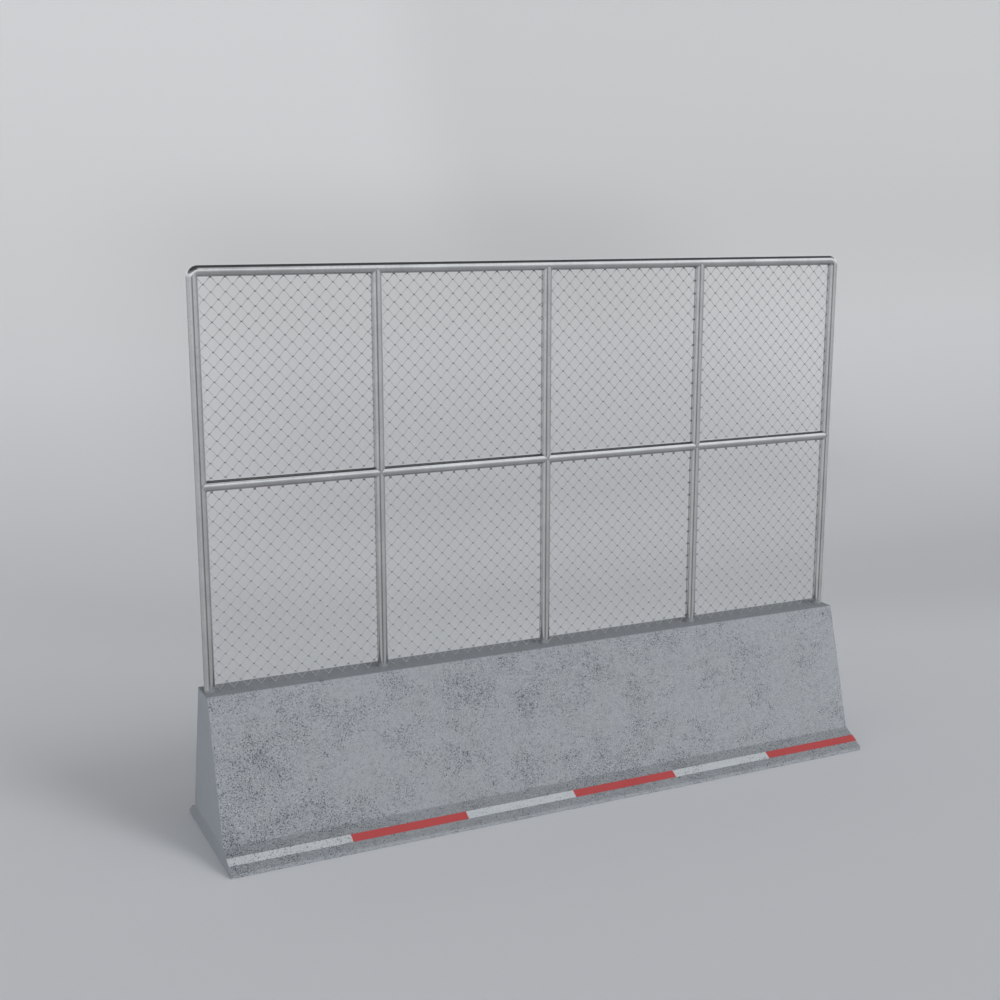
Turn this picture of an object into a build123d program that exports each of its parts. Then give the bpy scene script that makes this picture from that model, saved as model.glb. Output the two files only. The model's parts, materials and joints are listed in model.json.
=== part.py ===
from build123d import *
import os
from math import ceil, hypot, sqrt

# Road safety barrier: a precast concrete block with a fence of steel tube and wire mesh on its ledge.
# X runs along the barrier, -Y is the front, Z is up. The origin is the middle of the block's base.

# Concrete block
block_length = 4000
block_height = 848
ledge_width = 190
break_width = 604
break_height = 107
base_width = 898
toe_height = 20

# Marking strips on the flares of the foot
strip_count = 6
strip_width = 48
strip_rise = 53
strip_thickness = 2

# Steel tube of the fence
tube_diameter = 57
tube_wall = 3.2
bend_inner_radius = 3.5
saddle_gap = 0.15

# Fence frame, with its heights measured from the ledge to the axis of each rail
bay_count = 4
end_inset = 38
top_rail_rise = 2161
mid_rail_rise = 1085
socket_depth = 250
socket_gap = 0.2

# Chain-link mesh, hung from its first row of knots. Every second wire of it is a bar of the panels here.
mesh_pitch = 74.6
wires_per_bar = 2
wire_diameter = 3
first_knot_inset = 17.5
first_knot_drop = 1.6

# Worked out from the sizes above
tube_radius = tube_diameter / 2
bore_radius = tube_radius - tube_wall
saddle_radius = tube_radius + saddle_gap
bend_radius = tube_radius + bend_inner_radius
socket_floor = block_height - socket_depth
top_rail_z = block_height + top_rail_rise
mid_rail_z = block_height + mid_rail_rise
end_post_x = block_length / 2 - end_inset
bay_length = block_length / bay_count
inner_post_x = [i * bay_length - block_length / 2 for i in range(1, bay_count)]
post_x = [-end_post_x, *inner_post_x, end_post_x]
corner_x = end_post_x - bend_radius
corner_z = top_rail_z - bend_radius
flare_run = (base_width - break_width) / 2
flare_rise = break_height - toe_height
strip_length = block_length / strip_count
bar_pitch = mesh_pitch * wires_per_bar
bar_opening = bar_pitch / sqrt(2) - wire_diameter
frame_top = top_rail_z - tube_radius
frame_end = end_post_x - tube_radius
first_knot_x = -end_post_x + first_knot_inset
first_knot_z = frame_top - first_knot_drop

os.makedirs("parts", exist_ok=True)


def save(part, name):
    part.label = name
    export_step(part, f"parts/{name}.step")


# The block is one casting, with a blind socket under each post
with BuildPart() as concrete_block:
    with BuildSketch(Plane.YZ):
        with BuildLine():
            Polyline(
                (0, 0),
                (base_width / 2, 0),
                (base_width / 2, toe_height),
                (break_width / 2, break_height),
                (ledge_width / 2, block_height),
                (0, block_height),
                close=True,
            )
        make_face()
        mirror(about=Plane.YZ)
    extrude(amount=block_length / 2, both=True)
    with BuildSketch(Plane.XY.offset(block_height)):
        with Locations(*[(x, 0) for x in post_x]):
            Circle(tube_radius + socket_gap)
    extrude(amount=-socket_depth, mode=Mode.SUBTRACT)
save(concrete_block.part, "concrete_block")


# Each post stands on the floor of its socket
def upright(x, top):
    with BuildPart() as post:
        with BuildSketch(Plane.XY.offset(socket_floor)):
            with Locations((x, 0)):
                Circle(tube_radius)
                Circle(bore_radius, mode=Mode.SUBTRACT)
        extrude(amount=top - socket_floor)
    return post.part


save(upright(-end_post_x, corner_z), "end_post_left")
save(upright(end_post_x, corner_z), "end_post_right")

# The inner posts are saddled to the underside of the top rail
for number, x in enumerate(inner_post_x, start=1):
    with BuildPart() as inner_post:
        add(upright(x, top_rail_z))
        with BuildSketch(Plane.YZ):
            with Locations((0, top_rail_z)):
                Circle(saddle_radius)
        extrude(amount=block_length / 2, both=True, mode=Mode.SUBTRACT)
    save(inner_post.part, f"inner_post_{number}")

# The top rail lies between two bent corners
with BuildPart() as top_rail:
    with BuildSketch(Plane.YZ):
        with Locations((0, top_rail_z)):
            Circle(tube_radius)
            Circle(bore_radius, mode=Mode.SUBTRACT)
    extrude(amount=corner_x, both=True)
save(top_rail.part, "top_rail")

with BuildPart() as right_corner:
    with BuildSketch(Plane.YZ.offset(corner_x)):
        with Locations((0, top_rail_z)):
            Circle(tube_radius)
            Circle(bore_radius, mode=Mode.SUBTRACT)
    revolve(axis=Axis((corner_x, 0, corner_z), (0, 1, 0)), revolution_arc=90)
save(right_corner.part, "corner_right")

with BuildPart() as left_corner:
    add(mirror(right_corner.part, about=Plane.YZ))
save(left_corner.part, "corner_left")

# The middle rail is one length of tube a bay, saddled to the posts at both ends
for number, (left, right) in enumerate(zip(post_x, post_x[1:]), start=1):
    with BuildPart() as mid_rail:
        with BuildSketch(Plane.YZ.offset(left)):
            with Locations((0, mid_rail_z)):
                Circle(tube_radius)
                Circle(bore_radius, mode=Mode.SUBTRACT)
        extrude(amount=right - left)
        with BuildSketch(Plane.XY.offset(mid_rail_z)):
            with Locations((left, 0), (right, 0)):
                Circle(saddle_radius)
        extrude(amount=tube_diameter, both=True, mode=Mode.SUBTRACT)
    save(mid_rail.part, f"mid_rail_{number}")


# The wires lie in the middle plane of the tubes, and one pattern runs through all the panels
def openings_in(left, right, low, high):
    first_column = ceil((left - first_knot_x) / bar_pitch * 2) - 1
    last_column = ceil((right - first_knot_x) / bar_pitch * 2)
    first_row = ceil((first_knot_z - high) / bar_pitch * 2) - 1
    last_row = ceil((first_knot_z - low) / bar_pitch * 2)
    return [
        (first_knot_x + column * bar_pitch / 2, first_knot_z - row * bar_pitch / 2)
        for column in range(first_column, last_column + 1)
        for row in range(first_row, last_row + 1)
        if (column + row) % 2
    ]


def mesh_panel(left, right, low, high):
    with BuildPart() as panel:
        with BuildSketch(Plane.XZ.offset(-wire_diameter / 2)):
            with Locations(((left + right) / 2, (low + high) / 2)):
                Rectangle(right - left, high - low)
            with Locations(*openings_in(left, right, low, high)):
                Rectangle(bar_opening, bar_opening, rotation=45, mode=Mode.SUBTRACT)
            # Room for the inside of the bent corners
            with Locations((-frame_end, frame_top), (frame_end, frame_top)):
                Rectangle(2 * bend_inner_radius, 2 * bend_inner_radius, mode=Mode.SUBTRACT)
        extrude(amount=wire_diameter)
    # A short end of wire that a corner of the frame cuts off from the mesh isn't kept
    return panel.part.solids().sort_by(SortBy.VOLUME)[-1]


for number, (left, right) in enumerate(zip(post_x, post_x[1:]), start=1):
    left_edge = left + tube_radius
    right_edge = right - tube_radius
    upper = mesh_panel(left_edge, right_edge, mid_rail_z + tube_radius, frame_top)
    save(upper, f"mesh_upper_{number}")
    lower = mesh_panel(left_edge, right_edge, block_height, mid_rail_z - tube_radius)
    save(lower, f"mesh_lower_{number}")

# Marking strips lie flat on the flares, end to end
flare_slope = hypot(flare_run, flare_rise)
for side, name in ((-1, "front"), (1, "back")):
    flare = Plane(
        origin=(0, side * base_width / 2, toe_height),
        x_dir=(-side, 0, 0),
        z_dir=(0, side * flare_rise / flare_slope, flare_run / flare_slope),
    )
    for number in range(strip_count):
        with BuildPart() as strip:
            with BuildSketch(flare):
                with Locations((number * strip_length - block_length / 2, strip_rise)):
                    Rectangle(strip_length, strip_width, align=Align.MIN)
            extrude(amount=strip_thickness)
        save(strip.part, f"strip_{name}_{number + 1}")
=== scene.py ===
import json
from math import asin, cos, pi, radians, sin, tan

import bmesh
import bpy
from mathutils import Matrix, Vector, noise

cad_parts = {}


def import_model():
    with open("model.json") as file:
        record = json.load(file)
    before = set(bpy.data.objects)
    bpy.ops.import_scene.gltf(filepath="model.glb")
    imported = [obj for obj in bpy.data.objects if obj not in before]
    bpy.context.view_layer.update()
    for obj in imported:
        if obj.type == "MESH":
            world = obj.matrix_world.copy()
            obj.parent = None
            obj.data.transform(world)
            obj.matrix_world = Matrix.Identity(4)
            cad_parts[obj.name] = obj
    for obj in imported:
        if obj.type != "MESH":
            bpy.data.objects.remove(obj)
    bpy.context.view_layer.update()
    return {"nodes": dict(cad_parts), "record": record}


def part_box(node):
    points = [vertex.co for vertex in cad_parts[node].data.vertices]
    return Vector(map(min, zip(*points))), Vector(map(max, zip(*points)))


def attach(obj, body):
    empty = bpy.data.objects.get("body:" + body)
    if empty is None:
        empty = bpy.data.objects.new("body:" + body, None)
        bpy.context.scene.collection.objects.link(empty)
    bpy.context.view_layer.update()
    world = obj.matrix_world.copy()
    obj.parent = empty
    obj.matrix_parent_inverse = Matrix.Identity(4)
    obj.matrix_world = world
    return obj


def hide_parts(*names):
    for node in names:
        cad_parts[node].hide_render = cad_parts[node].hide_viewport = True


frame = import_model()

scene = bpy.context.scene
scene.view_settings.view_transform = "Standard"

# Sizes read from the frame, in metres
block_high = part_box("concrete_block")[1]
half_length = block_high.x
half_base = block_high.y
ledge_z = block_high.z
rail_low, rail_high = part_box("top_rail")
tube_radius = (rail_high.z - rail_low.z) / 2
top_rail_z = rail_high.z - tube_radius
mid_rail_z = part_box("mid_rail_1")[1].z - tube_radius
post_names = ["end_post_left", "inner_post_1", "inner_post_2", "inner_post_3", "end_post_right"]
post_x = [(low.x + high.x) / 2 for low, high in map(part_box, post_names)]
bays = list(zip(post_x, post_x[1:]))

# Shape of the block between its base and its ledge
toe_height = 0.020
break_height = 0.107
half_break = 0.302
half_ledge = 0.095
arris_radius = 0.0025

# Woven mesh: pitch of its diamonds, its wire, how far the wires hook past each other and reach into the tubes
mesh_pitch = 0.0746
wire_diameter = 0.003
hook_reach = 0.0045
wire_end = 0.009

# Its first knot, a little to the right of the left end post's middle and just under the top rail
first_knot_x = post_x[0] + 0.0175
first_knot_z = top_rail_z - tube_radius - 0.0016

bead_radius = 0.003


class Wire:
    """A node's output that takes part in Python arithmetic and adds the Math nodes."""

    def __init__(self, graph, socket):
        self.graph = graph
        self.socket = socket

    def math(self, operation, *others):
        return self.graph.math(operation, self, *others)

    def __add__(self, other):
        return self.math("ADD", other)

    __radd__ = __add__

    def __sub__(self, other):
        return self.math("SUBTRACT", other)

    def __rsub__(self, other):
        return self.graph.math("SUBTRACT", other, self)

    def __mul__(self, other):
        return self.math("MULTIPLY", other)

    __rmul__ = __mul__

    def __truediv__(self, other):
        return self.math("DIVIDE", other)

    def __gt__(self, other):
        return self.math("GREATER_THAN", other)

    def __lt__(self, other):
        return self.math("LESS_THAN", other)

    def __abs__(self):
        return self.math("ABSOLUTE")

    def output(self, name):
        """Another output of the same node."""
        return Wire(self.graph, self.socket.node.outputs[name])

    def eased(self, low, high, start=0.0, end=1.0):
        """Goes smoothly from start to end while the value goes from low to high."""
        settings = {"interpolation_type": "SMOOTHSTEP"}
        inputs = {"Value": self, "From Min": low, "From Max": high, "To Min": start, "To Max": end}
        return self.graph.node("ShaderNodeMapRange", settings, inputs)

    def band(self, rise_from, rise_to, fall_from, fall_to):
        """1 between two eased edges and 0 outside them."""
        return self.eased(rise_from, rise_to) * self.eased(fall_from, fall_to, 1.0, 0.0)


class Graph:
    """A node tree that is filled with one method."""

    def __init__(self, tree):
        self.tree = tree

    def node(self, kind, settings=None, inputs=None, output=0):
        """Adds a node with its settings, values and links, and gives one of its outputs."""
        made = self.tree.nodes.new(kind)
        for name, value in (settings or {}).items():
            setattr(made, name, value)
        for name, value in (inputs or {}).items():
            self.feed(made.inputs[name], value)
        return Wire(self, made.outputs[output]) if len(made.outputs) else None

    def feed(self, socket, value):
        if isinstance(value, Wire):
            self.tree.links.new(value.socket, socket)
        else:
            socket.default_value = value

    def math(self, operation, *values):
        return self.node("ShaderNodeMath", {"operation": operation}, dict(enumerate(values)))

    def place(self):
        """Object coordinates, which are metres in the barrier's own frame."""
        return self.node("ShaderNodeTexCoord", output="Object")

    def along(self, place, axis):
        """One coordinate of a place."""
        return self.node("ShaderNodeSeparateXYZ", {}, {0: place}, axis)

    def noise(self, place, scale, detail, roughness):
        inputs = {"Vector": place, "Scale": scale, "Detail": detail, "Roughness": roughness}
        return self.node("ShaderNodeTexNoise", {}, inputs)

    def mix(self, share, first, second):
        """Two colours mixed by a share. The node keeps its colours in sockets 6 and 7, and gives one in 2."""
        return self.node("ShaderNodeMix", {"data_type": "RGBA"}, {0: share, 6: first, 7: second}, 2)

    def bump(self, height, distance, strength):
        inputs = {"Height": height, "Distance": distance, "Strength": strength}
        return self.node("ShaderNodeBump", {}, inputs)

    def attribute(self, name):
        """A value that Geometry Nodes stored on the piece."""
        return self.node("ShaderNodeAttribute", {"attribute_name": name}, output="Fac")


def new_material(name, **fixed):
    """A material, its graph and its shader node, with what is the same all over set on the shader."""
    material = bpy.data.materials.new(name)
    material.use_nodes = True
    shader = material.node_tree.nodes["Principled BSDF"]
    for socket, value in fixed.items():
        shader.inputs[socket.replace("_", " ")].default_value = value
    return material, Graph(material.node_tree), shader


def grey(level, blue=0.0):
    """A grey, a little bluer where asked."""
    return (level * (1 - blue), level, level * (1 + blue), 1.0)


# Concrete: cloudy grey paste, with small voids that crowd in patches and most of all towards the left end
warm_paste = grey(0.374, 0.044)
cool_paste = (0.366, 0.382, 0.410, 1.0)
pale_paste = grey(0.56, 0.055)
smooth_cool_lit_paste = (0.351, 0.384, 0.424, 1.0)
damp_stain = grey(0.28, 0.07)
dark_mottle = grey(0.25, 0.06)
dark_grain = grey(0.19, 0.08)
pale_grain = grey(0.56, 0.04)
# Painted shade for the flare and the ledge, which face upwards and get less light
painted_shade = grey(0.16, 0.08)


def void_crowding(graph, place):
    """From 0 on sound, smooth concrete to 1 where the voids lie close together."""
    lengthways = graph.along(place, "X")
    height = graph.along(place, "Z")
    patches = graph.noise(place, 3.4, 5.0, 0.7).eased(0.44, 0.62)
    left_end = lengthways.eased(-half_length, -0.55 * half_length, 0.40, 0.0)
    low_down = height.eased(0.45 * ledge_z, 0.95 * ledge_z, 1.0, 0.45)
    middle = lengthways.band(-0.9, -0.5, -0.1, 0.5)
    right_end = lengthways.eased(0.2, 1.2, 0.0, 0.06)
    return patches * 0.50 + left_end * low_down + middle * 0.15 + right_end


def voids(graph, place, crowding):
    """Up to 1 in a void and 0 on sound concrete: ragged fine ones, and rounder ones where air was trapped."""
    deep = graph.noise(place, 48.0, 3.0, 0.7).eased(0.35, 0.62, 0.4, 1.0)
    ragged = (graph.noise(place, 145.0, 3.0, 0.62) + crowding * 0.15).eased(0.61, 0.66) * deep
    cells = graph.node("ShaderNodeTexVoronoi", {}, {"Vector": place, "Scale": 95.0})
    chance = graph.node("ShaderNodeSeparateColor", {}, {"Color": cells.output("Color")})
    round_ones = (0.36 - cells.output("Distance")).eased(0.0, 0.1)
    return ragged, round_ones * (chance < crowding * 0.30)


def off_the_ends(graph, place):
    """0 on the end faces, which were cast against smooth steel, and 1 past their arrises."""
    return abs(graph.along(place, "X")).eased(half_length - 0.003, half_length - 0.001, 1.0, 0.0)


def concrete():
    material, graph, shader = new_material("concrete", Specular_IOR_Level=0.3)
    place = graph.place()
    lengthways = graph.along(place, "X")
    height = graph.along(place, "Z")
    clouds = graph.noise(place, 4.5, 4.0, 0.65)
    stains = graph.noise(place, 13.0, 6.0, 0.75)
    mottle = graph.noise(place, 30.0, 5.0, 0.75)
    grain = graph.noise(place, 170.0, 2.0, 0.6)

    # The long faces are pitted and grainy, the ledge much less so, and the ends are smooth
    off_ends = off_the_ends(graph, place)
    on_flare = height.band(toe_height, toe_height + 0.005, break_height - 0.006, break_height)
    on_ledge = height.eased(ledge_z - 0.006, ledge_z - 0.002)
    pitted = off_ends * (1 - on_ledge * 0.75)
    crowding = (void_crowding(graph, place) * (1 - on_flare * 0.4) + on_flare * 0.18) * pitted
    rightwards = lengthways.eased(-1.0, 0.8)
    grainy = (crowding.eased(0.0, 0.45, 0.56, 1.24) + rightwards * 0.40) * pitted
    ragged, round_ones = voids(graph, place, crowding)

    body = graph.mix(clouds.eased(0.36, 0.64), warm_paste, cool_paste)
    body = graph.mix(lengthways.eased(0.2, 2.0, 0.0, 0.10), body, pale_paste)
    # The ends are smooth paste with a bluer cast: the smoothness is real, the bluer cast is painted cool
    # light on the shaded end faces
    body = graph.mix((1 - off_ends) * 0.5, body, smooth_cool_lit_paste)
    body = graph.mix(stains.eased(0.44, 0.64, 0.0, 0.16), body, damp_stain)
    body = graph.mix(mottle.eased(0.48, 0.66, 0.0, 0.42) * pitted, body, dark_mottle)
    body = graph.mix(grain.eased(0.54, 0.70, 0.0, 0.6) * grainy, body, dark_grain)
    body = graph.mix(grain.eased(0.44, 0.28, 0.0, 0.7) * grainy, body, pale_grain)
    # The flare and the ledge are painted darker: painted shade on the faces that turn upwards
    body = graph.mix(on_flare * 0.16 + on_ledge * 0.18, body, painted_shade)
    # The voids are painted near black: painted shade inside the holes
    body = graph.mix(ragged * 0.9, body, grey(0.08, 0.2))
    body = graph.mix(round_ones * 0.85, body, grey(0.055, 0.2))
    graph.feed(shader.inputs["Base Color"], body)
    graph.feed(shader.inputs["Roughness"], stains.eased(0.3, 0.7, 0.92, 0.82))
    relief = grain * 0.10 - ragged * 0.7 - round_ones
    graph.feed(shader.inputs["Normal"], graph.bump(relief, 0.0015, 0.6))
    return material


# Galvanised steel tube: bright zinc with soft cloudy spangle, dulled by a film of cement just above the ledge
def galvanised():
    material, graph, shader = new_material("galvanised_steel")
    place = graph.place()
    spangle = graph.noise(place, 60.0, 3.0, 0.6)
    film = graph.noise(place, 5.0, 3.0, 0.55)
    cement = graph.along(place, "Z").eased(ledge_z, ledge_z + 0.045, 0.5, 0.0)
    body = graph.mix(film.eased(0.3, 0.7), grey(0.50, 0.015), grey(0.58, 0.01))
    body = graph.mix(spangle.eased(0.48, 0.7, 0.0, 0.3), body, grey(0.43, 0.02))
    body = graph.mix(cement, body, grey(0.42, 0.03))
    graph.feed(shader.inputs["Base Color"], body)
    graph.feed(shader.inputs["Metallic"], 1 - cement * 0.85)
    graph.feed(shader.inputs["Roughness"], spangle.eased(0.3, 0.7, 0.11, 0.17) + cement * 0.45)
    graph.feed(shader.inputs["Normal"], graph.bump(film, 0.0004, 0.15))
    return material


# Wire of the mesh: thin dull zinc, with painted shade where two wires hook into each other and where it meets
# the rail above it and the post on its right, and a little duller close to the ledge
def galvanised_wire():
    material, graph, shader = new_material("mesh_wire", Metallic=0.5)
    place = graph.place()
    film = graph.noise(place, 60.0, 3.0, 0.6)
    above_ledge = graph.along(place, "Z").eased(ledge_z + 0.010, ledge_z + 0.030)
    body = graph.mix(film.eased(0.35, 0.65), grey(0.51, 0.02), grey(0.61, 0.02))
    body = graph.mix((1 - above_ledge) * 0.22, body, grey(0.16))
    # Painted shade at the hooks, where two wires cross close together
    body = graph.mix(graph.attribute("painted_hook_shade") * above_ledge * 0.66, body, grey(0.08))
    # Painted shade where the wire meets the rail above it and the post on its right
    body = graph.mix(graph.attribute("painted_contact_shade") * 0.85, body, grey(0.04))
    graph.feed(shader.inputs["Base Color"], body)
    graph.feed(shader.inputs["Roughness"], film.eased(0.3, 0.7, 0.40, 0.54))
    graph.feed(shader.inputs["Normal"], graph.bump(film, 0.0001, 0.5))
    return material


# Weld beads: darker and rougher than the tube
def weld():
    material, graph, shader = new_material("weld", Metallic=1.0)
    place = graph.place()
    scale = graph.noise(place, 240.0, 3.0, 0.6)
    graph.feed(shader.inputs["Base Color"], graph.mix(scale.eased(0.35, 0.65), grey(0.44), grey(0.56)))
    graph.feed(shader.inputs["Roughness"], scale.eased(0.3, 0.7, 0.38, 0.55))
    graph.feed(shader.inputs["Normal"], graph.bump(scale, 0.0003, 0.6))
    return material


# Marking strips: thin, the white worn and pitted like the concrete under it, the red cleaner
def marking(name, colour, dirt, wear):
    material, graph, shader = new_material(name, Specular_IOR_Level=0.3)
    place = graph.place()
    clouds = graph.noise(place, 6.0, 4.0, 0.6)
    ragged, round_ones = voids(graph, place, void_crowding(graph, place) * 0.75)
    body = graph.mix(clouds.eased(0.35, 0.75, 0.0, 0.3), colour, dirt)
    # Worn spots and pits are dark: partly the concrete under the worn paint, partly painted shade inside the
    # pits
    body = graph.mix(ragged * wear, body, grey(0.17, 0.04))
    body = graph.mix(round_ones * wear, body, grey(0.12, 0.05))
    graph.feed(shader.inputs["Base Color"], body)
    graph.feed(shader.inputs["Roughness"], clouds.eased(0.3, 0.7, 0.62, 0.5))
    graph.feed(shader.inputs["Normal"], graph.bump(0.0 - round_ones - ragged * 0.5, 0.0006, 0.6))
    return material


# Backdrop: pale floor with painted shade, darker with distance and where it turns up, with painted shadows
# low down, behind the middle and at the upper right, and a painted cool cast that is less blue higher up
def studio_floor():
    material, graph, shader = new_material("studio_floor", Roughness=0.9, Specular_IOR_Level=0.1)
    place = graph.place()
    height = graph.along(place, "Z")
    across = graph.along(place, "X")
    # Painted shade and painted shadow: darker far back and higher up, in a band low down deepest at the left,
    # behind the middle and at the upper right
    far = (graph.along(place, "Y") + across * 0.35).eased(2.4, 4.4)
    painted_shade_low_band = height.band(0.0, 0.4, 0.8, 1.7) * across.eased(2.0, 8.0, 1.0, 0.2)
    painted_shade_upper_right = across.eased(3.2, 5.0) * height.eased(1.5, 3.5)
    middle = across.band(-1.5, 1.5, 5.5, 9.0) * height.band(0.0, 0.45, 2.6, 4.2)
    level = 0.845 - far * 0.090 - height.eased(0.0, 3.2, 0.0, 0.062)
    level = level - painted_shade_low_band * 0.030 - painted_shade_upper_right * 0.055 - middle * 0.080
    # Painted cool cast, bluest low down
    tint = graph.mix(height.eased(0.0, 2.5), (0.99, 1.0, 1.033, 1.0), (0.99, 1.0, 1.004, 1.0))
    graph.feed(shader.inputs["Base Color"], graph.mix(level, grey(0.0), tint))
    return material


finish = {
    "concrete": concrete(),
    "galvanised_steel": galvanised(),
    "mesh_wire": galvanised_wire(),
    "white_marking": marking("white_marking", grey(0.64, 0.04), grey(0.50, 0.055), 0.85),
    "red_marking": marking("red_marking", (0.55, 0.086, 0.088, 1.0), (0.46, 0.074, 0.077, 1.0), 0.2),
}
weld_finish = weld()


def paint(piece, material):
    piece.data.materials.clear()
    piece.data.materials.append(material)


def smooth(piece):
    for face in piece.data.polygons:
        face.use_smooth = True


def new_piece(name, mesh, nodes=()):
    """A finished mesh as a piece of the barrier."""
    piece = bpy.data.objects.new(name, mesh)
    scene.collection.objects.link(piece)
    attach(piece, "root")
    if nodes:
        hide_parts(*nodes)
    return piece


# The CAD nodes keep their shape and get their finish
for row in frame["record"]["subparts"]:
    paint(frame["nodes"][row["node"]], finish[row["material_slot"]])


# Concrete block with rounded, lightly worn arrises
round_steps = 3
longest_cut = 0.03
block_columns = 380
wave_depth = 0.0006
chip_depth = 0.006
chip_rarity = 0.38
base_corner = Vector((half_base, 0))
toe_corner = Vector((half_base, toe_height))
break_corner = Vector((half_break, break_height))
ledge_corner = Vector((half_ledge, ledge_z))


def corner_points(before, corner, after):
    """Points of the round between two straight sides."""
    towards_before = (before - corner).normalized()
    towards_after = (after - corner).normalized()
    reach = arris_radius / tan(towards_before.angle(towards_after) / 2)
    start = corner + towards_before * reach
    end = corner + towards_after * reach
    points = []
    for step in range(round_steps + 1):
        share = step / round_steps
        points.append(start.lerp(corner, share).lerp(corner.lerp(end, share), share))
    return points


def half_outline():
    """Right half of the cross-section, from the middle of the base round to the middle of the ledge."""
    corners = [Vector((0, 0)), base_corner, toe_corner, break_corner, ledge_corner, Vector((0, ledge_z))]
    rounds = [corner_points(*three) for three in zip(corners, corners[1:], corners[2:])]
    points = [corners[0]]
    for stretch in (*rounds, [corners[-1]]):
        start = points[-1]
        cuts = max(1, round((stretch[0] - start).length / longest_cut))
        points += [start.lerp(stretch[0], cut / cuts) for cut in range(1, cuts)]
        points += stretch
    return points


def inset_points(points, depth):
    """The outline moved inwards by a small depth."""
    moved = []
    for index, point in enumerate(points):
        before = points[index - 1] if index else Vector((-points[1].x, points[1].y))
        after = points[index + 1] if index + 1 < len(points) else Vector((-points[-2].x, points[-2].y))
        along = (after - before).normalized()
        moved.append(point + Vector((-along.y, along.x)) * depth)
    return moved


def wear_at(place):
    """How deep the surface lies under the true shape: soft waves all over."""
    wave = noise.noise(place * 3.0) + 0.5 * noise.noise(place * 9.0)
    return wave_depth * (1 + wave)


def chip_at(place):
    """Depth of the small chips along the arrises."""
    chance = noise.noise(place * 14.0 + Vector((7.3, 2.1, 5.7))) + 0.5 * noise.noise(place * 45.0)
    return chip_depth * max(0.0, chance - chip_rarity)


def block_sections():
    """Each cross-section's place along the block, how far it is inset, and if it is on an end's arris."""
    reach = half_length - arris_radius
    stations = [reach * (2 * column / block_columns - 1) for column in range(block_columns + 1)]
    sections = [(x, 0.0, False) for x in stations]
    for step in range(1, round_steps + 1):
        angle = step / round_steps * pi / 2
        out = reach + arris_radius * sin(angle)
        depth = arris_radius * (1 - cos(angle))
        sections.append((out, depth, True))
        sections.insert(0, (-out, depth, True))
    return sections


def cast_block():
    outline = half_outline()
    last = len(outline) - 1
    arris = {index for index, point in enumerate(outline)
             for corner in (base_corner, toe_corner, ledge_corner)
             if (point - corner).length < arris_radius * 1.5}
    mesh = bmesh.new()
    rings = []
    for x, depth, at_end in block_sections():
        half = inset_points(outline, depth)
        ring = []
        for side, order in ((1, range(last + 1)), (-1, range(last - 1, 0, -1))):
            for index in order:
                place = Vector((x, side * half[index].x, half[index].y))
                along = (outline[min(index + 1, last)] - outline[max(index - 1, 0)]).normalized()
                inwards = Vector((0, -along.y * side, along.x))
                sunk = wear_at(place)
                if index in arris or at_end:
                    sunk += chip_at(place)
                on_the_floor = place.z < 0.001
                if on_the_floor:
                    sunk = 0.0
                ring.append(mesh.verts.new(place + inwards * sunk))
        rings.append(ring)
    count = len(rings[0])
    for first, second in zip(rings, rings[1:]):
        for index in range(count):
            after = (index + 1) % count
            mesh.faces.new((first[index], second[index], second[after], first[after]))

    # Each end is closed by strips between the two halves of the outline, the first and last of them triangles
    for ring, flip in ((rings[0], True), (rings[-1], False)):
        for index in range(last):
            corners = list(dict.fromkeys((ring[index], ring[index + 1], ring[-index - 1], ring[-index])))
            mesh.faces.new(corners[::-1] if flip else corners)
    bmesh.ops.recalc_face_normals(mesh, faces=mesh.faces)
    data = bpy.data.meshes.new("cast_block")
    mesh.to_mesh(data)
    mesh.free()
    piece = new_piece("cast_block", data, ["concrete_block"])
    paint(piece, finish["concrete"])
    smooth(piece)


cast_block()


# What the Geometry Nodes trees have in common
def new_tree(name, inputs):
    """A Geometry Nodes tree with its named inputs: their identifiers, its graph and their values in it."""
    tree = bpy.data.node_groups.new(name, "GeometryNodeTree")
    tree.interface.new_socket("Geometry", in_out="OUTPUT", socket_type="NodeSocketGeometry")
    sockets = {label: tree.interface.new_socket(label, in_out="INPUT", socket_type=kind)
               for label, kind in inputs.items()}
    names = {label: socket.identifier for label, socket in sockets.items()}
    graph = Graph(tree)
    source = graph.node("NodeGroupInput")
    return tree, names, graph, {label: source.output(label) for label in names}


def stored(graph, geometry, name, value):
    """The geometry with a value stored on each of its points."""
    return graph.node("GeometryNodeStoreNamedAttribute", {"data_type": "FLOAT", "domain": "POINT"},
                      {"Geometry": geometry, "Name": name, "Value": value})


def circle(graph, corners, radius):
    return graph.node("GeometryNodeCurvePrimitiveCircle", {"mode": "RADIUS"},
                      {"Resolution": corners, "Radius": radius})


def close_tree(graph, geometry, material):
    """Ends a tree with real geometry in its material."""
    geometry = graph.node("GeometryNodeRealizeInstances", {}, {"Geometry": geometry})
    geometry = graph.node("GeometryNodeSetMaterial", {}, {"Geometry": geometry, "Material": material})
    graph.node("NodeGroupOutput", {}, {0: geometry})


def grown(name, tree, names, values, seed=None):
    """The plain mesh that a Geometry Nodes tree makes with these values."""
    carrier = bpy.data.objects.new(name, seed or bpy.data.meshes.new(name + "_seed"))
    scene.collection.objects.link(carrier)
    modifier = carrier.modifiers.new("grow", "NODES")
    modifier.node_group = tree
    for label, value in values.items():
        modifier[names[label]] = value
    mesh = bpy.data.meshes.new_from_object(carrier.evaluated_get(bpy.context.evaluated_depsgraph_get()))
    mesh.name = name
    bpy.data.objects.remove(carrier)
    return mesh


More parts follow.
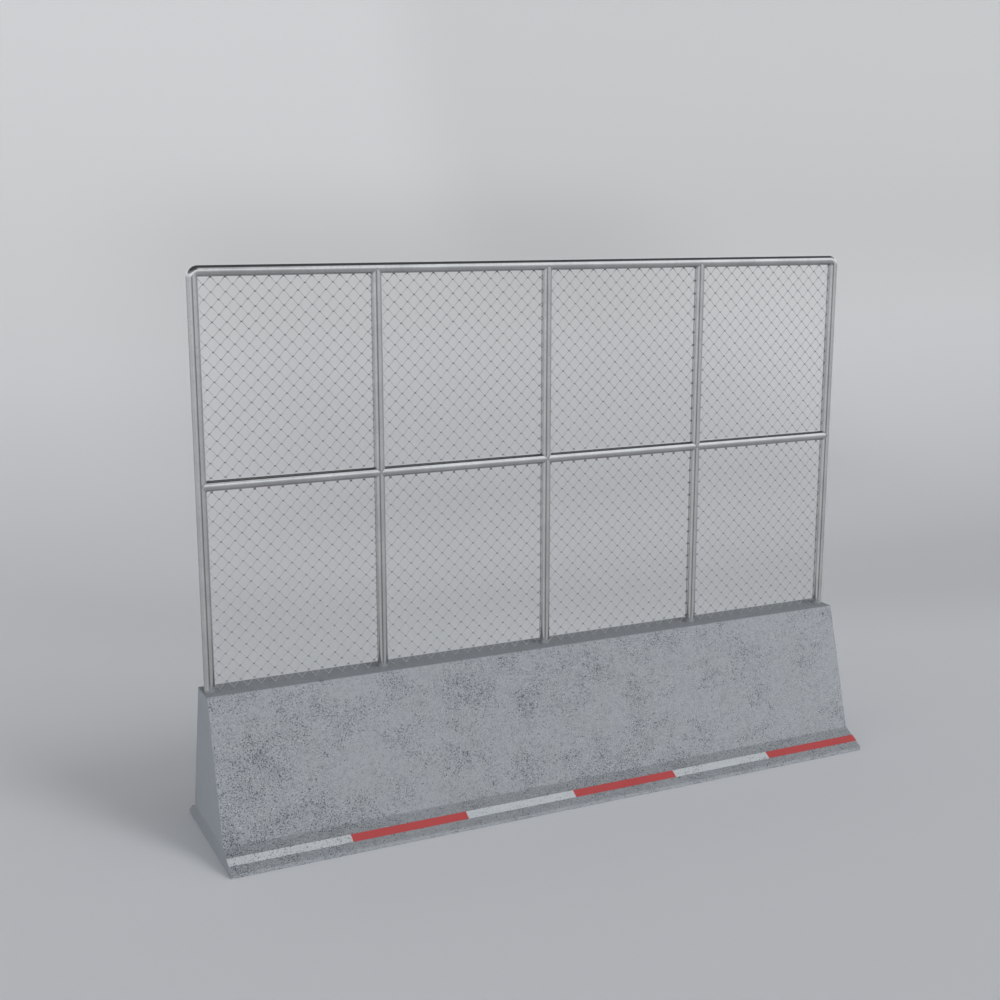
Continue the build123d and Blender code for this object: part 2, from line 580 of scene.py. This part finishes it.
# Chain-link mesh, woven from pickets that zigzag down and hook into their neighbours
def woven_tree():
    lengths = ("Pitch", "Wire diameter", "Hook reach", "Left", "Right", "Low", "High",
               "First knot x", "First knot z", "Dark above", "Dark right of")
    inputs = dict.fromkeys(lengths, "NodeSocketFloat") | {"Material": "NodeSocketMaterial"}
    tree, names, graph, given = new_tree("woven_mesh", inputs)
    half_pitch = given["Pitch"] / 2
    radius = given["Wire diameter"] / 2

    # One picket is a run of points, a fixed number for each slanted length of wire
    steps = 8
    first_picket = ((given["Left"] - given["First knot x"]) / half_pitch).math("FLOOR") - 1
    pickets = ((given["Right"] - given["Left"]) / half_pitch).math("CEIL") + 2
    top_row = ((given["First knot z"] - given["High"]) / half_pitch).math("FLOOR") - 2
    rows = ((given["High"] - given["Low"]) / half_pitch).math("CEIL") + 5
    line = graph.node("GeometryNodeMeshLine", {}, {"Count": rows * steps + 1})
    index = graph.node("GeometryNodeInputIndex")
    row = (index / steps).math("FLOOR")
    even_share = index / steps - row
    # Points crowd near the hooks, where the wire turns
    share = even_share - (even_share * 2 * pi).math("SINE") * (0.80 / (2 * pi))
    turn = (row + share) * pi
    # Near 1 the slants run straight and the turns are tight
    straightness = 0.998
    swing = (turn.math("COSINE") * -straightness).math("ARCSINE") / asin(straightness)
    x = half_pitch / 2 + swing * (half_pitch / 2 + given["Hook reach"])
    # The wire lies in front on the one slant and behind on the other, and crosses over in the hook
    leaning = turn.math("SINE")
    depth = leaning / (leaning * leaning + 0.01).math("SQRT")
    y = depth * radius * -1.1
    # It runs down more slowly in the hooks than on the slants between them
    slack = (share * 2 * pi).math("SINE") * (0.75 / (2 * pi))
    z = (row + share - slack) * half_pitch * -1
    place = graph.node("ShaderNodeCombineXYZ", {}, {"X": x, "Y": y, "Z": z})
    picket = graph.node("GeometryNodeSetPosition", {}, {"Geometry": line, "Position": place})
    # Where the painted shade of the hooks falls on the picket
    picket = stored(graph, picket, "painted_hook_shade", abs(share - 0.5).eased(0.32, 0.40))

    # Every second picket starts half a diamond lower
    columns = graph.node("GeometryNodeMeshLine", {}, {"Count": pickets})
    number = graph.node("GeometryNodeInputIndex") + first_picket
    odd = (number * 0.5).math("FRACT") * 2
    even_row = (top_row * 0.5).math("FLOOR") * 2
    column_x = given["First knot x"] + number * half_pitch
    column_z = given["First knot z"] - (even_row + odd) * half_pitch
    column_place = graph.node("ShaderNodeCombineXYZ", {}, {"X": column_x, "Y": 0.0, "Z": column_z})
    columns = graph.node("GeometryNodeSetPosition", {}, {"Geometry": columns, "Position": column_place})
    hung = graph.node("GeometryNodeInstanceOnPoints", {}, {"Points": columns, "Instance": picket})
    hung = graph.node("GeometryNodeRealizeInstances", {}, {"Geometry": hung})

    # What lies past the frame is cut away
    where = graph.node("GeometryNodeInputPosition")
    at_x = graph.along(where, "X")
    at_z = graph.along(where, "Z")
    beside = (at_x < given["Left"]) + (at_x > given["Right"])
    past = beside + (at_z < given["Low"]) + (at_z > given["High"])
    kept = graph.node("GeometryNodeDeleteGeometry", {"domain": "POINT"},
                      {"Geometry": hung, "Selection": past > 0.5})
    # Painted shade on the wire just under the rail and just left of the post on its right
    under_rail = (at_z - given["Dark above"]).eased(-0.005, 0.003)
    by_post = (at_x - given["Dark right of"]).eased(-0.005, 0.003)
    kept = stored(graph, kept, "painted_contact_shade", under_rail.math("MAXIMUM", by_post))
    curve = graph.node("GeometryNodeMeshToCurve", {}, {"Mesh": kept})
    inputs = {"Curve": curve, "Profile Curve": circle(graph, 6, radius), "Fill Caps": True}
    wire = graph.node("GeometryNodeCurveToMesh", {}, inputs)
    wire = graph.node("GeometryNodeSetShadeSmooth", {}, {"Geometry": wire})
    close_tree(graph, wire, given["Material"])
    return tree, names


def woven_mesh():
    """An upper and a lower panel in each bay. The lower ones end just in the ledge."""
    tree, names = woven_tree()
    rows = (("upper", mid_rail_z + tube_radius, top_rail_z - tube_radius, wire_end),
            ("lower", ledge_z, mid_rail_z - tube_radius, wire_diameter))
    for number, (left, right) in enumerate(bays, start=1):
        for row, low, high, sunk in rows:
            name = f"woven_{row}_{number}"
            values = {
                "Pitch": mesh_pitch,
                "Wire diameter": wire_diameter,
                "Hook reach": hook_reach,
                "Left": left + tube_radius - wire_end,
                "Right": right - tube_radius + wire_end,
                "Low": low - sunk,
                "High": high + wire_end,
                "First knot x": first_knot_x,
                "First knot z": first_knot_z,
                "Dark above": high - 0.010,
                "Dark right of": right - tube_radius - 0.006,
                "Material": finish["mesh_wire"],
            }
            new_piece(name, grown(name, tree, names, values), [f"mesh_{row}_{number}"])


woven_mesh()


# Weld beads where a tube end is saddled to another tube, grown on the joints' middles
def bead_tree():
    inputs = {"Joints": "NodeSocketGeometry", "Tube radius": "NodeSocketFloat",
              "Bead radius": "NodeSocketFloat", "Material": "NodeSocketMaterial"}
    tree, names, graph, given = new_tree("weld_beads", inputs)
    across = graph.along(graph.node("GeometryNodeInputPosition"), "X")
    rise = graph.node("ShaderNodeCombineXYZ", {}, {"Z": abs(across)})
    saddle = circle(graph, 96, given["Tube radius"])
    saddle = graph.node("GeometryNodeSetPosition", {}, {"Geometry": saddle, "Offset": rise})
    # The bead swells at every fourth point
    ripple = 1 + 0.16 * (graph.node("GeometryNodeInputIndex") * (2 * pi / 4)).math("SINE")
    saddle = graph.node("GeometryNodeSetCurveRadius", {}, {"Curve": saddle, "Radius": ripple})
    inputs = {"Curve": saddle, "Profile Curve": circle(graph, 8, given["Bead radius"]), "Scale": ripple}
    bead = graph.node("GeometryNodeCurveToMesh", {}, inputs)
    bead = graph.node("GeometryNodeSetShadeSmooth", {}, {"Geometry": bead})
    turn = graph.node("GeometryNodeInputNamedAttribute", {"data_type": "FLOAT"}, {"Name": "turn"})
    turn = graph.node("ShaderNodeCombineXYZ", {}, {"Y": turn})
    beads = graph.node("GeometryNodeInstanceOnPoints", {},
                       {"Points": given["Joints"], "Instance": bead, "Rotation": turn})
    close_tree(graph, beads, given["Material"])
    return tree, names


def weld_beads():
    quarter = pi / 2
    joints = [((x, 0, top_rail_z), pi) for x in post_x[1:-1]]
    joints += [((left, 0, mid_rail_z), quarter) for left, _ in bays]
    joints += [((right, 0, mid_rail_z), -quarter) for _, right in bays]
    seed = bpy.data.meshes.new("joint_middles")
    seed.from_pydata([place for place, _ in joints], [], [])
    turn = seed.attributes.new("turn", "FLOAT", "POINT")
    turn.data.foreach_set("value", [angle for _, angle in joints])
    tree, names = bead_tree()
    values = {"Tube radius": tube_radius, "Bead radius": bead_radius, "Material": weld_finish}
    new_piece("weld_beads", grown("weld_beads", tree, names, values, seed))


weld_beads()


# Camera at the photograph's viewpoint
def camera():
    looking_down = 11.568
    turned_right = 25.598
    data = bpy.data.cameras.new("camera")
    data.lens = 50
    data.sensor_width = 36
    eye = bpy.data.objects.new("camera", data)
    eye.location = (-3.5741, -6.8647, 3.2738)
    eye.rotation_euler = (radians(90 - looking_down), 0, radians(-turned_right))
    scene.collection.objects.link(eye)
    scene.camera = eye


# Floor that turns up into a backdrop in one soft curve
def backdrop():
    near, far, bend = -22.0, 3.5, 9.5
    width, height, steps = 34.0, 13.0, 40
    profile = [(near, 0.0), (far, 0.0)]
    for step in range(1, steps + 1):
        angle = step / steps * pi / 2
        profile.append((far + bend * sin(angle), bend * (1 - cos(angle))))
    profile.append((far + bend, height))
    mesh = bmesh.new()
    rows = [[mesh.verts.new((x, y, z)) for x in (-width, width)] for y, z in profile]
    for first, second in zip(rows, rows[1:]):
        mesh.faces.new((first[0], first[1], second[1], second[0]))
    data = bpy.data.meshes.new("backdrop")
    mesh.to_mesh(data)
    mesh.free()
    piece = bpy.data.objects.new("backdrop", data)
    scene.collection.objects.link(piece)
    paint(piece, studio_floor())
    smooth(piece)
    piece.visible_glossy = False


# Soft studio light: a broad lamp from the front right, and a world with a bright band low down all round
def front_lamp():
    data = bpy.data.lights.new("front_lamp", "SUN")
    data.energy = 0.95
    data.angle = radians(22)
    lamp = bpy.data.objects.new("front_lamp", data)
    towards_lamp = Vector((0.47, -0.81, 0.38))
    lamp.rotation_euler = towards_lamp.to_track_quat("Z", "Y").to_euler()
    lamp.visible_glossy = False
    scene.collection.objects.link(lamp)


def world():
    """Dark overhead, bright low down, with a softbox at the front and panels below that the tubes mirror."""
    made = bpy.data.worlds.new("studio")
    scene.world = made
    made.use_nodes = True
    graph = Graph(made.node_tree)
    background = made.node_tree.nodes["Background"]
    direction = graph.node("ShaderNodeTexCoord", output="Generated")
    height = graph.along(direction, "Z")
    forward = graph.along(direction, "Y") * -1
    bearing = graph.math("ARCTAN2", graph.along(direction, "X"), forward).math("DEGREES")
    lift = graph.math("ARCTAN2", height, forward).math("DEGREES")
    seen = graph.node("ShaderNodeLightPath", output="Is Camera Ray")
    level = height.eased(0.03, 0.13, 0.69, 1.24)

    # The left side lights the end face, but its upper part is dimmer where the tubes mirror it
    left_side = bearing.band(-150, -120, -70, -40)
    low = height.eased(0.02, 0.10, 1.0, 0.0)
    full = low + (1 - low) * seen.output("Is Diffuse Ray")
    level = level * (1 + left_side * (full * 0.78 - 0.22))

    # Above the bright band only the softbox stays bright
    softbox = bearing.band(-5, 40, 70, 90) * lift.eased(52, 66, 1.0, 0.0)
    ceiling = height.eased(0.36, 0.46, 1.0, 0.26) * height.eased(0.60, 0.76, 1.0, 0.3)
    level = level * (ceiling + (1 - ceiling) * softbox)
    level = level * height.eased(-0.50, -0.02, 0.60, 1.0)

    # Panels below the horizon, bright to both sides of a dark gap at the front, and duller towards the ends
    panels = bearing.eased(-64, -52, 0.68, 1.10) * bearing.eased(-30, -14, 1.0, 0.40)
    panels = panels + bearing.eased(0, 10, 0.0, 0.60) - bearing.eased(58, 72, 0.0, 0.18)
    below = height.eased(0.0, 0.08, 1.0, 0.0)
    level = level * (1 - below * (1 - panels))

    # What the camera sees past the backdrop is one plain grey
    background.inputs["Color"].default_value = grey(1.0, 0.02)
    graph.feed(background.inputs["Strength"], level * (1 - seen) + seen * 0.55)


camera()
backdrop()
front_lamp()
world()
